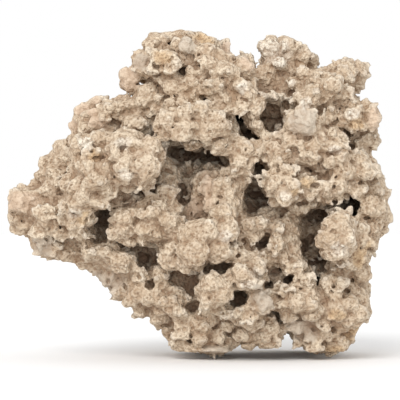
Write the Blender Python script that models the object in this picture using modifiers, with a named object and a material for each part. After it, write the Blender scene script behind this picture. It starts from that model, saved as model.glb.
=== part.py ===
"""A dry reef rock for an aquarium: one natural stone, grown together from crumbly lumps, with caves between.

Run it with: blender --background --python part.py

The front of the stone is laid out on a drawing grid, as an eye straight in front of it sees it. Columns count
from the left and rows from the top, and the stone is GRID_COLUMNS squares long. "Forward" is how far a place
stands in front of the stone's middle plane, in the same squares. The stone stands on the plane Z = 0.
"""

import math
import random

import bmesh
import bpy
from mathutils import Matrix, Vector, noise
from mathutils.bvhtree import BVHTree

# ---------------------------------------------------------------- driving dimensions, in metres
LENGTH = 0.300
EYE_DISTANCE = 1.72
GRID_COLUMNS = 387
SQUARE = LENGTH / GRID_COLUMNS
EYE_COLUMN = 200
EYE_ROW = 200
MIDDLE_COLUMN = 197.5
FLOOR_ROW = 358

SKIN_VOXEL = 0.0035
FINE_VOXEL = 0.0028
MOST_TRIANGLES = 9600
FLOOR_CUT = 0.1
STONE_COLOUR = (0.56, 0.46, 0.35, 1.0)
STONE_ROUGHNESS = 0.92

# How uneven the balls are: the share of the swelling, how many waves it has on a ball, and how far apart in
# the noise two balls a metre apart are.
SWELL = 0.32
LONG_WAVES = 1.8
SHORT_WAVES = 4.5
NOISE_SPREAD = 240
PLACED_FINENESS = 3
GROWN_FINENESS = 2
SEED = 11

# ---------------------------------------------------------------- the stone, on the drawing grid
# Each row is: column, row, forward, half width, half height, half depth, turn in degrees anticlockwise.

# The big masses that everything else grows from.
MASSES = [
    (228, 205, -40, 108, 105, 84, 0),
    (120, 190, -32, 72, 62, 66, 8),
    (60, 212, -20, 46, 34, 44, -8),
    (188, 82, -34, 50, 46, 62, 0),
    (262, 110, -38, 60, 50, 64, 0),
    (326, 121, -32, 39, 42, 58, 0),
    (335, 205, -34, 48, 72, 76, 0),
    (240, 290, -34, 84, 46, 80, 0),
    (322, 300, -32, 42, 44, 66, 0),
    (153, 268, -32, 42, 36, 56, 40),
    (200, 322, -34, 30, 28, 66, 0),
]

# The nose at the far left, and the steps up to the shoulder.
NOSE = [
    (26, 204, 8, 23, 15, 20, 5),
    (20, 223, 2, 16, 11, 16, -5),
    (22, 191, 0, 7, 7, 8, 0),
    (52, 218, 26, 19, 20, 22, 30),
    (42, 245, 14, 15, 13, 18, 0),
    (58, 253, 8, 15, 10, 18, 0),
    (76, 254, 8, 12, 10, 16, 0),
    (46, 163, -2, 9, 8, 10, 0),
    (43, 179, 2, 10, 9, 12, 0),
    (64, 150, 6, 12, 12, 14, 30),
    (56, 176, 18, 13, 15, 14, 0),
    (52, 196, 20, 12, 10, 14, 0),
    (80, 138, 8, 12, 10, 14, 30),
]

# The pale boulder that stands out over the cave, and the lobe below it.
BOULDER = [
    (134, 162, 66, 29, 28, 28, 0),
    (122, 150, 62, 24, 18, 24, 0),
    (100, 166, 56, 28, 30, 28, 20),
    (86, 192, 54, 26, 19, 24, 20),
    (138, 178, 60, 20, 12, 20, 0),
    (82, 226, 44, 17, 15, 20, 0),
]

# The shoulder between the nose and the head, with smooth knobs on its crest.
SHOULDER = [
    (97, 105, 4, 9, 8, 10, 0),
    (81, 112, 2, 7, 5, 7, 0),
    (86, 122, 8, 14, 11, 14, 0),
    (77, 126, 2, 7, 6, 8, 0),
    (106, 118, 22, 14, 12, 16, 0),
    (118, 107, 10, 15, 10, 16, 0),
    (136, 106, 18, 17, 11, 18, 0),
    (133, 124, 34, 16, 10, 16, 0),
    (148, 96, 14, 11, 9, 12, 0),
    (104, 134, 2, 26, 16, 24, 0),
    (97, 103, 2, 10, 7, 9, 0),
]

# The head at the upper left, with the knob that hangs from it.
HEAD = [
    (155, 44, 12, 12, 11, 16, 0),
    (166, 38, 10, 12, 8, 16, 0),
    (181, 37, 14, 14, 8, 18, 0),
    (196, 41, 18, 14, 12, 18, 0),
    (186, 48, 30, 13, 11, 16, 0),
    (211, 48, 12, 12, 11, 16, 0),
    (226, 51, 2, 8, 11, 9, 0),
    (156, 60, 30, 19, 12, 20, 0),
    (143, 62, 16, 11, 10, 14, 0),
    (130, 79, 12, 10, 12, 12, -20),
    (134, 89, 8, 5, 4, 6, 0),
    (163, 72, 30, 13, 8, 14, 0),
    (172, 66, 38, 10, 9, 12, 0),
    (208, 62, 34, 16, 12, 18, 0),
    (196, 76, 40, 9, 7, 12, 0),
    (171, 86, 34, 13, 9, 16, 0),
    (186, 86, 38, 12, 10, 14, 0),
    (209, 88, 44, 13, 10, 14, 0),
    (224, 80, 38, 13, 14, 16, 0),
    (240, 84, 36, 15, 15, 18, 0),
    (243, 64, -2, 9, 12, 10, 0),
    (158, 106, 30, 12, 10, 14, 0),
    (174, 102, 38, 11, 10, 12, 0),
    (192, 98, 40, 11, 10, 14, 0),
]

# The ledge over the great cave, and its right end.
LEDGE = [
    (180, 124, 68, 25, 14, 24, 0),
    (204, 124, 66, 17, 13, 22, 0),
    (222, 126, 58, 14, 18, 20, 0),
    (212, 140, 58, 17, 9, 18, 0),
    (228, 149, 56, 14, 9, 16, 0),
    (236, 104, 48, 13, 13, 16, 0),
    (255, 104, 44, 12, 11, 14, 0),
    (254, 124, 42, 10, 12, 14, -30),
    (246, 162, 52, 14, 18, 18, 0),
]

# The knob at the top, and the ground behind it.
TOP_KNOB = [
    (272, 49, 4, 13, 13, 16, 0),
    (289, 47, 2, 12, 13, 16, 0),
    (279, 60, 8, 16, 11, 16, 0),
    (303, 57, -2, 12, 11, 14, 0),
    (315, 60, -4, 5, 5, 6, 0),
    (276, 74, 12, 14, 12, 16, 0),
    (298, 76, -8, 16, 12, 18, 0),
    (262, 82, 10, 12, 14, 16, 0),
    (278, 98, 22, 14, 9, 16, 0),
]

# The two planks and the boulder of the upper right corner.
CORNER = [
    (302, 83, 26, 13, 8, 14, 20),
    (322, 78, 22, 17, 10, 20, 15),
    (344, 68, 12, 12, 10, 16, 0),
    (361, 69, 2, 9, 8, 12, 0),
    (355, 80, 4, 10, 9, 12, 0),
    (368, 68, -2, 4, 5, 7, 0),
    (311, 100, 46, 16, 10, 18, 20),
    (328, 92, 42, 16, 10, 18, 20),
    (345, 92, 26, 11, 11, 14, 0),
    (305, 122, 54, 18, 18, 20, 0),
    (332, 118, 34, 12, 11, 16, 0),
    (357, 114, 30, 18, 12, 20, 0),
    (371, 117, 10, 9, 14, 14, -10),
    (320, 138, 44, 26, 7, 20, 0),
    (374, 142, 4, 6, 8, 12, 0),
    (362, 132, 2, 12, 14, 20, 0),
    (360, 146, 14, 12, 10, 16, 0),
]

# The right flank, with the tongue and the round ball that stand out from it.
FLANK = [
    (284, 148, 46, 20, 13, 20, 0),
    (266, 148, 46, 12, 11, 16, 0),
    (312, 154, 50, 20, 12, 22, 0),
    (336, 162, 44, 15, 13, 20, 0),
    (353, 172, 36, 13, 16, 20, 0),
    (371, 172, 12, 12, 14, 18, 0),
    (377, 190, 8, 13, 9, 16, 0),
    (342, 186, 44, 15, 11, 18, 0),
    (322, 188, 48, 16, 12, 18, 0),
    (302, 186, 50, 13, 13, 16, 0),
    (282, 180, 66, 16, 12, 18, 0),
    (286, 194, 66, 9, 9, 12, 0),
    (368, 204, 30, 13, 13, 18, 0),
    (379, 216, 10, 14, 18, 18, 0),
    (372, 230, 14, 14, 11, 18, 0),
    (337, 236, 62, 20, 25, 24, 0),
    (350, 262, 30, 12, 14, 18, 0),
    (368, 244, 6, 10, 9, 16, 0),
    (364, 262, 6, 10, 9, 16, 0),
    (358, 277, 12, 13, 9, 18, 0),
]

# The middle: the column between the caves, and the broad nose below it.
MIDDLE = [
    (222, 190, 44, 17, 26, 20, 0),
    (207, 182, 34, 6, 16, 10, 0),
    (232, 206, 48, 11, 15, 16, 0),
    (222, 222, 62, 13, 14, 18, 0),
    (196, 244, 72, 22, 18, 24, 0),
    (220, 240, 66, 15, 14, 20, 0),
    (174, 256, 56, 14, 13, 18, 0),
    (194, 262, 62, 13, 8, 16, 0),
    (216, 254, 58, 16, 11, 18, 0),
    (256, 226, 36, 17, 12, 18, 0),
    (240, 244, 42, 13, 9, 16, 0),
    (276, 240, 40, 8, 18, 16, -25),
    (290, 246, 34, 12, 15, 16, 0),
    (152, 214, 46, 26, 16, 22, 10),
    (168, 206, 40, 13, 16, 18, 0),
    (124, 218, 42, 15, 13, 18, 0),
    (142, 234, 42, 22, 10, 20, 0),
    (166, 230, 44, 16, 10, 18, 0),
]

# The lower edge from the nose to the left foot.
UNDERSIDE = [
    (100, 252, 22, 18, 10, 20, 0),
    (122, 262, 24, 16, 10, 20, -20),
    (88, 265, 4, 8, 5, 10, 0),
    (98, 270, 4, 9, 7, 12, -30),
    (115, 281, 2, 13, 11, 20, -45),
    (134, 286, 18, 15, 18, 20, 0),
    (142, 306, 4, 11, 9, 18, -10),
    (160, 312, 4, 12, 9, 18, 0),
    (160, 292, 24, 16, 12, 18, 0),
    (176, 306, 28, 16, 12, 20, 0),
    (162, 324, 0, 9, 9, 18, -30),
    (180, 342, 8, 10, 11, 18, 0),
    (192, 344, 12, 11, 10, 20, 0),
    (192, 324, 22, 14, 10, 20, 0),
    (216, 350, 10, 16, 13, 24, 0),
    (210, 332, 20, 15, 11, 20, 0),
]

# The lower front: the lump with a round den in it, and what stands beside it.
LOWER_FRONT = [
    (216, 290, 64, 17, 18, 22, 0),
    (238, 278, 62, 20, 10, 20, 0),
    (258, 298, 54, 12, 22, 20, 0),
    (236, 314, 50, 20, 8, 20, 0),
    (254, 262, 48, 17, 11, 20, 20),
    (264, 335, 26, 16, 14, 20, 0),
    (246, 334, 24, 13, 12, 18, 0),
    (302, 274, 40, 15, 16, 18, 0),
    (314, 273, 42, 6, 5, 8, -30),
    (296, 300, 44, 17, 14, 20, -20),
    (312, 308, 40, 13, 13, 18, 0),
]

# The right foot.
RIGHT_FOOT = [
    (333, 280, 32, 15, 15, 20, 0),
    (340, 300, 30, 14, 12, 18, 0),
    (344, 314, 30, 16, 14, 20, 0),
    (361, 292, 6, 11, 12, 18, 0),
    (361, 312, 6, 10, 13, 18, 0),
    (306, 332, 16, 15, 18, 22, 0),
    (325, 334, 24, 14, 14, 20, 0),
    (341, 342, 12, 9, 10, 18, 0),
    (324, 348, 4, 16, 13, 21, 0),
    (350, 328, 4, 9, 11, 18, 0),
]

# The hollows, in the same form. They are long from front to back, so that they run into the dark.
HOLLOWS = [
    (206, 154, 40, 17, 11, 52, 0),
    (220, 162, 38, 14, 8, 40, -10),
    (176, 153, 40, 15, 12, 44, 0),
    (190, 165, 40, 14, 11, 44, 0),
    (184, 192, 40, 8, 18, 26, 0),
    (240, 117, 36, 10, 7, 32, 0),
    (248, 135, 36, 11, 9, 36, -30),
    (260, 139, 34, 8, 5, 28, 0),
    (271, 118, 22, 15, 17, 38, 0),
    (258, 169, 40, 10, 10, 34, 0),
    (255, 196, 36, 15, 14, 50, 0),
    (252, 210, 36, 10, 10, 34, 0),
    (274, 214, 46, 13, 10, 24, 0),
    (298, 172, 48, 9, 5, 26, -40),
    (314, 170, 44, 6, 5, 22, -50),
    (316, 217, 38, 16, 12, 48, 15),
    (352, 207, 34, 8, 16, 38, 0),
    (309, 243, 38, 11, 16, 52, 0),
    (318, 264, 34, 12, 13, 44, -30),
    (264, 244, 36, 7, 6, 30, 0),
    (218, 268, 52, 20, 6, 38, 8),
    (182, 279, 46, 18, 13, 30, -20),
    (148, 261, 38, 14, 10, 40, -10),
    (102, 218, 46, 10, 15, 44, -20),
    (94, 240, 34, 5, 7, 22, 0),
    (173, 242, 60, 8, 5, 22, 0),
    (150, 284, 30, 5, 5, 26, 0),
    (238, 299, 60, 13, 10, 40, 0),
    (193, 309, 36, 8, 5, 28, 35),
    (275, 316, 40, 7, 10, 36, -20),
    (266, 285, 44, 7, 7, 36, 0),
    (290, 281, 40, 8, 8, 38, 0),
    (316, 286, 34, 8, 10, 34, 0),
    (345, 291, 34, 7, 4, 24, -35),
    (328, 108, 44, 13, 5, 28, 30),
    (346, 131, 44, 5, 6, 12, 0),
    (350, 149, 30, 12, 4, 20, 0),
    (181, 71, 42, 5, 8, 24, -40),
    (196, 64, 42, 5, 5, 22, 0),
    (204, 98, 48, 6, 5, 26, 0),
    (211, 113, 60, 4, 6, 20, 0),
    (117, 124, 30, 9, 5, 26, -20),
    (134, 190, 52, 7, 5, 26, 20),
    (148, 203, 50, 4, 6, 24, 0),
    (283, 88, 22, 7, 5, 20, 0),
    (294, 93, 26, 4, 4, 18, 0),
    (60, 189, 26, 4, 8, 16, 0),
    (143, 84, -40, 6, 8, 110, -15),
]

# Notches that reach right through at the outline.
NOTCHES = [
    (360, 95, -20, 7, 5, 90, 30),
    (236, 60, -20, 3, 6, 80, 15),
    (257, 60, -20, 5, 9, 100, 0),
    (288, 344, -30, 5, 11, 110, 0),
    (321, 64, -20, 4, 5, 60, 0),
]

# Feet behind the two that show, so that the stone stands.
REAR_FEET = [
    (196, 340, -70, 24, 19, 24, 0),
    (326, 337, -80, 20, 22, 24, 0),
    (300, 322, -100, 26, 24, 20, 0),
]

# The great hollows of the back, the top and the ends, which no eye in front sees.
REAR_HOLLOWS = [
    (150, 178, -104, 20, 14, 44, 20),
    (246, 150, -134, 16, 24, 44, -15),
    (300, 210, -130, 22, 13, 50, 10),
    (214, 232, -136, 15, 18, 44, 0),
    (268, 300, -120, 24, 14, 46, -20),
    (180, 84, -100, 14, 12, 40, 0),
    (322, 112, -96, 15, 12, 36, 30),
    (352, 250, -100, 12, 16, 36, 0),
    (104, 210, -78, 14, 10, 32, 0),
    (170, 276, -84, 12, 13, 36, 0),
]

# What grows all over by a rule: (spacing, smallest, largest) of the balls. The front gets knobs between the
# lumps above and on them. The back, top, ends and underside get lumps and hollows of every size. OUT says how
# many radii the middle of such a ball is outside the surface.
DEEP_KNOBS = [(24, 10, 15)]
SURFACE_KNOBS = [(16, 6, 8)]
SURFACE_KNOBS_OUT = 0.15
BACK_LUMPS = [(52, 26, 36), (30, 13, 20), (18, 6, 10)]
BACK_LUMPS_OUT = -0.25
BACK_HOLLOWS = [(54, 11, 16), (30, 6, 9)]
HOLLOW_DEPTH = 2.2
HALF_SIZES = (0.8, 1.2)
BACK_STARTS = -10
FRONT_TURNS_BACK = 0.2

# A ball grows only where the stone covers it: the eye looks past it on this many sides, at this many radii.
COVER_LOOKS = 8
COVER_MARGIN = 1.1


def place(column, row, forward):
    """The point on the drawing grid at (column, row), that far in front of the middle plane, in metres."""
    nearness = 1 - forward * SQUARE / EYE_DISTANCE
    x = (column - EYE_COLUMN) * SQUARE * nearness + (EYE_COLUMN - MIDDLE_COLUMN) * SQUARE
    z = (EYE_ROW - row) * SQUARE * nearness + (FLOOR_ROW - EYE_ROW) * SQUARE
    return Vector((x, -forward * SQUARE, z))


def ball_shape(fineness):
    """The points and faces of a ball of radius 1."""
    mesh = bmesh.new()
    bmesh.ops.create_icosphere(mesh, subdivisions=fineness, radius=1.0)
    points = [vertex.co.copy() for vertex in mesh.verts]
    faces = [[vertex.index for vertex in face.verts] for face in mesh.faces]
    mesh.free()
    return points, faces


def uneven_ball(shape, centre, sizes, swing):
    """The ball's points and faces, with those half sizes, turned, and swollen unevenly."""
    points, faces = shape
    stretch = swing @ Matrix.Diagonal(sizes)
    placed = []
    for point in points:
        spot = point + centre * NOISE_SPREAD
        swell = 1 + SWELL * noise.noise(spot * LONG_WAVES) + SWELL / 2 * noise.noise(spot * SHORT_WAVES)
        placed.append(centre + stretch @ (point * swell))
    return placed, faces


def laid_out(rows):
    """The balls of one of the lists above."""
    shape = ball_shape(PLACED_FINENESS)
    balls = []
    for column, row, forward, half_width, half_height, half_depth, turn in rows:
        sizes = Vector((half_width, half_depth, half_height)) * SQUARE
        swing = Matrix.Rotation(-math.radians(turn), 3, "Y")
        balls.append(uneven_ball(shape, place(column, row, forward), sizes, swing))
    return balls


def joined(name, shapes):
    """One mesh of all those shapes, which may overlap."""
    points, faces = [], []
    for shape_points, shape_faces in shapes:
        first = len(points)
        points += shape_points
        faces += [[first + corner for corner in face] for face in shape_faces]
    data = bpy.data.meshes.new(name)
    data.from_pydata(points, [], faces)
    return data


def shape_of(data):
    return [vertex.co.copy() for vertex in data.vertices], [list(face.vertices) for face in data.polygons]


def remesh(target, voxel):
    modifier = target.modifiers.new("skin", "REMESH")
    modifier.mode = "VOXEL"
    modifier.voxel_size = voxel
    return modifier


def cut_away(target, cutter):
    cutter.hide_render = True
    cutter.display_type = "WIRE"
    cut = target.modifiers.new(cutter.name, "BOOLEAN")
    cut.operation = "DIFFERENCE"
    cut.object = cutter


def baked(target):
    """The target's mesh with its modifiers applied."""
    bpy.context.view_layer.update()
    graph = bpy.context.evaluated_depsgraph_get()
    data = bpy.data.meshes.new_from_object(target.evaluated_get(graph))
    target.modifiers.clear()
    target.data = data
    return data


def keep_largest_shell(data):
    """Removes loose crumbs and closed bubbles: every connected shell but the largest."""
    mesh = bmesh.new()
    mesh.from_mesh(data)
    left = set(mesh.verts)
    shells = []
    while left:
        shell = [left.pop()]
        for vertex in shell:
            for edge in vertex.link_edges:
                other = edge.other_vert(vertex)
                if other in left:
                    left.remove(other)
                    shell.append(other)
        shells.append(shell)
    shells.sort(key=len)
    for shell in shells[:-1]:
        bmesh.ops.delete(mesh, geom=shell, context="VERTS")
    mesh.to_mesh(data)
    mesh.free()


def spaced(points, spacing):
    """The points kept in their order, each at least the spacing from those kept before it."""
    kept = []
    cells = {}
    for point, normal in points:
        cell = tuple(math.floor(value / spacing) for value in point)
        near = [cells.get((cell[0] + i, cell[1] + j, cell[2] + k), [])
                for i in (-1, 0, 1) for j in (-1, 0, 1) for k in (-1, 0, 1)]
        if all((point - other).length > spacing for group in near for other in group):
            cells.setdefault(cell, []).append(point)
            kept.append((point, normal))
    return kept


def covered(tree, point, reach, behind):
    """Whether the eye, looking past every side of a ball of that reach, sees the stone: before it if behind."""
    eye = Vector(((EYE_COLUMN - MIDDLE_COLUMN) * SQUARE, -EYE_DISTANCE, (FLOOR_ROW - EYE_ROW) * SQUARE))
    for step in range(COVER_LOOKS):
        angle = math.tau * step / COVER_LOOKS
        way = point + reach * Vector((math.cos(angle), 0, math.sin(angle))) - eye
        hit, _, _, distance = tree.ray_cast(eye, way.normalized())
        if hit is None or (behind and distance > way.length):
            return False
    return True


def grown(data, rules, chance, behind, outward=0.0, depth=1.0):
    """Balls by the rules on the mesh's front, or on what is behind it, that leave its outline as it is."""
    tree = BVHTree.FromPolygons(*shape_of(data))
    shape = ball_shape(GROWN_FINENESS)
    balls = []
    for spacing, smallest, largest in rules:
        spots = [(v.co.copy(), v.normal.copy()) for v in data.vertices
                 if (v.co.y > BACK_STARTS * SQUARE if behind else v.normal.y < FRONT_TURNS_BACK)]
        chance.shuffle(spots)
        for point, normal in spaced(spots, spacing * SQUARE):
            size = chance.uniform(smallest, largest) * SQUARE
            centre = point + normal * outward * size
            if covered(tree, centre, COVER_MARGIN * size, behind):
                sizes = [size * chance.uniform(*HALF_SIZES) for _ in range(3)]
                sizes[2] *= depth
                balls.append(uneven_ball(shape, centre, sizes, normal.to_track_quat("Z", "Y").to_matrix()))
    return balls


def stand_on_origin(data):
    """Moves the mesh so that the middle of its box stands over the origin."""
    for axis in (0, 1):
        places = [vertex.co[axis] for vertex in data.vertices]
        middle = (min(places) + max(places)) / 2
        for vertex in data.vertices:
            vertex.co[axis] -= middle
        print("moved along", "XY"[axis], "by", round(-1000 * middle, 2), "mm")


def limestone():
    material = bpy.data.materials.new("limestone")
    material.use_nodes = True
    finish = material.node_tree.nodes["Principled BSDF"]
    finish.inputs["Base Color"].default_value = STONE_COLOUR
    finish.inputs["Roughness"].default_value = STONE_ROUGHNESS
    finish.inputs["Metallic"].default_value = 0.0
    return material


def main():
    for leftover in list(bpy.data.objects):
        bpy.data.objects.remove(leftover)
    stone_collection = bpy.data.collections.new("reef_rock")
    tools = bpy.data.collections.new("cutters")
    bpy.context.scene.collection.children.link(stone_collection)
    bpy.context.scene.collection.children.link(tools)
    chance = random.Random(SEED)

    stone = bpy.data.objects.new("reef_rock", joined("masses", laid_out(MASSES)))
    stone_collection.objects.link(stone)
    remesh(stone, SKIN_VOXEL)
    masses = baked(stone)

    front = (NOSE + BOULDER + SHOULDER + HEAD + LEDGE + TOP_KNOB + CORNER + FLANK + MIDDLE + UNDERSIDE
             + LOWER_FRONT + RIGHT_FOOT + REAR_FEET)
    knobs = grown(masses, DEEP_KNOBS, chance, behind=False)
    stone.data = joined("front", [shape_of(masses)] + knobs + laid_out(front))
    remesh(stone, SKIN_VOXEL)
    lumpy = baked(stone)

    knobs = grown(lumpy, SURFACE_KNOBS, chance, behind=False, outward=SURFACE_KNOBS_OUT)
    back = grown(lumpy, BACK_LUMPS, chance, behind=True, outward=BACK_LUMPS_OUT)
    stone.data = joined("whole", [shape_of(lumpy)] + knobs + back)
    remesh(stone, SKIN_VOXEL)
    whole = baked(stone)
    keep_largest_shell(whole)

    pits = grown(whole, BACK_HOLLOWS, chance, behind=True, depth=HOLLOW_DEPTH)
    placed_hollows = laid_out(HOLLOWS + NOTCHES + REAR_HOLLOWS)
    hollows = bpy.data.objects.new("hollows", joined("hollows", placed_hollows + pits))
    tools.objects.link(hollows)
    remesh(hollows, SKIN_VOXEL)
    cut_away(stone, hollows)
    remesh(stone, FINE_VOXEL)
    keep_largest_shell(baked(stone))

    stone.modifiers.new("triangles", "TRIANGULATE")
    thin = stone.modifiers.new("thin", "DECIMATE")
    thin.ratio = MOST_TRIANGLES / (2 * len(stone.data.polygons))
    keep_largest_shell(baked(stone))

    mesh = bmesh.new()
    bmesh.ops.create_cube(mesh, size=1.0)
    floor = bpy.data.objects.new("floor", bpy.data.meshes.new("floor"))
    mesh.to_mesh(floor.data)
    mesh.free()
    floor.scale = (2 * LENGTH, 2 * LENGTH, FLOOR_CUT)
    floor.location = (0, 0, -FLOOR_CUT / 2)
    tools.objects.link(floor)
    cut_away(stone, floor)
    keep_largest_shell(baked(stone))
    stand_on_origin(stone.data)
    stone.data.materials.append(limestone())


main()
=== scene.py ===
# %% [markdown]
# A dry reef rock: one natural stone, grown together from crumbly lumps, with caves between them. The solid
# model already has the stone's outline, its lumps and its caves, but its facets are 5 mm wide. What is left
# to make is everything finer: knobs like popcorn, winding creases, pores, smooth patches of calcite, and the
# stone's own colours.
#
# The stone's skin is made from a distance field: a block of numbers that says, for every point of a grid, how
# far the stone's surface is. Lumps and pores are then added and cut by plain minimum and maximum, however
# they cross each other, which a mesh could not take. At the end the field is turned into one closed mesh.

# %% Load the solid model
import functools
import itertools
import math

import bmesh
import bpy
import numpy as np
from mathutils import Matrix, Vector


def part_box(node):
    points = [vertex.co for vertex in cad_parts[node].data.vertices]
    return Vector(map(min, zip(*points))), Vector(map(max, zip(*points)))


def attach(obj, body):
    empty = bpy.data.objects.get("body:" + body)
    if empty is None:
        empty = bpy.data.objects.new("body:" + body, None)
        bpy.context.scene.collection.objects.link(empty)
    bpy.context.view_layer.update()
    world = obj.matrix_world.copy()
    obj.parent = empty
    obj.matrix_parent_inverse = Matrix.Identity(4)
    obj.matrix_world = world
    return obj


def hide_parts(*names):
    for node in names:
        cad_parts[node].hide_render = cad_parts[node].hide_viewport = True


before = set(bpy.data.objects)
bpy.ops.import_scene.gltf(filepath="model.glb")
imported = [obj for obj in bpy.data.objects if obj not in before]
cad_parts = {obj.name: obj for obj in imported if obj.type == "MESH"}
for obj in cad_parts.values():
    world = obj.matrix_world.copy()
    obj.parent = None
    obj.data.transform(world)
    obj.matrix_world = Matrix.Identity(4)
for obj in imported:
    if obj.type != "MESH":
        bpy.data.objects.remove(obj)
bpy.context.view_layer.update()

import openvdb as vdb
from mathutils import Matrix, Vector

LOW, HIGH = (np.array(corner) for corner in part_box("reef_rock"))
MM = 0.001
print("stone, mm:", np.round((HIGH - LOW) / MM, 1))

# %% [markdown]
# The details of the front are placed on a drawing grid, as an eye straight in front of the stone sees it.
# Columns count from the left and rows from the top, and one square is the stone's width divided by 387. The
# grid stands upright in the stone's middle plane.

# %% The drawing grid
STONE_WIDTH = 0.300
STONE_COLUMNS = 387
SQUARE = STONE_WIDTH / STONE_COLUMNS
EYE_DISTANCE = 1.72
EYE_COLUMN, EYE_ROW = 200, 200
MIDDLE_COLUMN, FLOOR_ROW = 197.5, 358
SHIFT = np.array([-1.56, -18.95, 0.0]) * MM   # the solid was centred on its origin after it was laid out
EYE = np.array([(EYE_COLUMN - MIDDLE_COLUMN) * SQUARE, -EYE_DISTANCE, (FLOOR_ROW - EYE_ROW) * SQUARE]) + SHIFT


def place(column, row):
    """A point of the grid in metres: its distance from the eye's square plus that square's from the floor's
    middle, along X and up."""
    x = (column - EYE_COLUMN) * SQUARE + (EYE_COLUMN - MIDDLE_COLUMN) * SQUARE
    z = (EYE_ROW - row) * SQUARE + (FLOOR_ROW - EYE_ROW) * SQUARE
    return np.array([x, 0.0, z]) + SHIFT


print("one square of the grid, mm:", round(SQUARE / MM, 3))

# %% [markdown]
# First the solid model becomes a distance field. OpenVDB measures the distances near the surface, and a short
# blur rounds the facets off. At 1.2 mm the grid can hold knobs and pores of 3 mm, and it stays small enough
# to work on as one block.

# %% The stone as a distance field
CELL = 1.2 * MM
REACH = 6               # grid points on each side of the surface that get a distance
MARGIN = 3              # empty grid points around the stone
FACET_BLUR = 2


def mesh_arrays(mesh):
    """The mesh's points and triangles, with points that share a place made one."""
    points = np.empty(len(mesh.vertices) * 3, np.float32)
    mesh.vertices.foreach_get("co", points)
    mesh.calc_loop_triangles()
    corners = np.empty(len(mesh.loop_triangles) * 3, np.int32)
    mesh.loop_triangles.foreach_get("vertices", corners)
    points, merged = np.unique(np.round(points.reshape(-1, 3), 6), axis=0, return_inverse=True)
    triangles = merged.reshape(-1)[corners].reshape(-1, 3)
    whole = (triangles != np.roll(triangles, 1, axis=1)).all(axis=1)
    return points.astype(np.float64), triangles[whole]


def blurred(field, passes):
    """Each pass replaces a number by a quarter, a half and a quarter of its row, along X, then Y, then Z."""
    for _ in range(passes):
        for axis in range(3):
            before, after = np.roll(field, 1, axis), np.roll(field, -1, axis)
            field = 0.25 * before + 0.5 * field + 0.25 * after
    return field


points, triangles = mesh_arrays(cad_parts["reef_rock"].data)
grid_places = vdb.createLinearTransform(voxelSize=CELL)
level_set = vdb.FloatGrid.createLevelSetFromPolygons(
    points, triangles=triangles.astype(np.uint32), transform=grid_places, halfWidth=float(REACH))
lowest_point, highest_point = (np.array(corner) for corner in level_set.evalActiveVoxelBoundingBox())
first = lowest_point - MARGIN
last = highest_point + MARGIN + 1
field = np.zeros(last - first, np.float32)
level_set.copyToArray(field, ijk=tuple(int(i) for i in first))
field = blurred(field, FACET_BLUR)
print("field", field.shape, "inside, litres:", round(float((field < 0).sum()) * CELL ** 3 * 1000, 2))

# %% [markdown]
# Two kinds of pattern break the surface up. The smooth one is random numbers at the corners of cubes, blended
# between them. The table of numbers repeats after 64 cubes, which is too far apart for an eye to notice.

# %% Smooth noise
NOISE_TABLE = 64
NOISE_START = 7.3       # moves the pattern's own zero away from the object's


@functools.cache
def random_corners(seed):
    """Random numbers from -1 to 1 for the corners of the cubes, the same for the same seed."""
    return np.random.default_rng(seed).uniform(-1, 1, (NOISE_TABLE,) * 3).astype(np.float32)


def smooth_noise(places, size, seed):
    """From about -1 to 1. Random numbers at the corners of cubes of that size, mixed by an S curve of the way
    between the corners."""
    corners = random_corners(seed)
    scaled = places / size + NOISE_START
    cell = np.floor(scaled).astype(np.int32)
    way = (scaled - cell).astype(np.float32)
    way = way * way * (3 - 2 * way)
    shares = (1 - way, way)
    ends = (cell % NOISE_TABLE, (cell + 1) % NOISE_TABLE)
    total = np.zeros(len(places), np.float32)
    for i, j, k in itertools.product((0, 1), repeat=3):
        weight = shares[i][:, 0] * shares[j][:, 1] * shares[k][:, 2]
        total += weight * corners[ends[i][:, 0], ends[j][:, 1], ends[k][:, 2]]
    return total


spread = np.percentile(smooth_noise(points, 8 * MM, 12), [5, 50, 95])
print("smooth noise at the model's corners, 5, 50 and 95 % of them below:", np.round(spread, 2))

# %% [markdown]
# The knobbly pattern, as on cauliflower, is the distance to the nearest of many scattered seeds: near a seed
# the stone swells, and where two seeds are equally far there is a crease.

# %% Scattered seeds
SEED_TABLE = 48
SEED_START = 5.1
FARTHEST = 9.0          # farther than any seed can be, in cubes


def nearest_seed(places, size, seed):
    """The distance to the nearest seed, in sizes, and that seed's own random number from 0 to 1. Each cube of
    that size holds one seed at a random place in it, so only the 27 cubes around a point are searched."""
    table = np.random.default_rng(seed).uniform(0, 1, (4, SEED_TABLE ** 3)).astype(np.float32)
    scaled = (places / size + SEED_START).astype(np.float32)
    cell = np.floor(scaled).astype(np.int32)
    nearest = np.full(len(places), FARTHEST, np.float32)
    best = np.zeros(len(places), np.int32)
    for i, j, k in itertools.product((-1, 0, 1), repeat=3):
        x, y, z = cell[:, 0] + i, cell[:, 1] + j, cell[:, 2] + k
        cube = (x % SEED_TABLE * SEED_TABLE + y % SEED_TABLE) * SEED_TABLE + z % SEED_TABLE
        squared = ((x + table[0][cube] - scaled[:, 0]) ** 2 + (y + table[1][cube] - scaled[:, 1]) ** 2
                   + (z + table[2][cube] - scaled[:, 2]) ** 2)
        closer = squared < nearest
        nearest = np.where(closer, squared, nearest)
        best = np.where(closer, cube, best)
    return np.sqrt(nearest), table[3][best]


def knobs(places, size, seed):
    """About -1 to 1: 1 on each seed, less 2.6 times the distance squared, so that knobs meet in creases."""
    distance, _ = nearest_seed(places, size, seed)
    return 1 - 2.6 * np.minimum(distance, 0.9) ** 2


def folds(places, size, seed):
    """About -1 to 1: 3.6 times smooth noise without its sign, less 1. Its folds meet in winding creases."""
    return 3.6 * np.abs(smooth_noise(places, size, seed)) - 1


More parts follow.
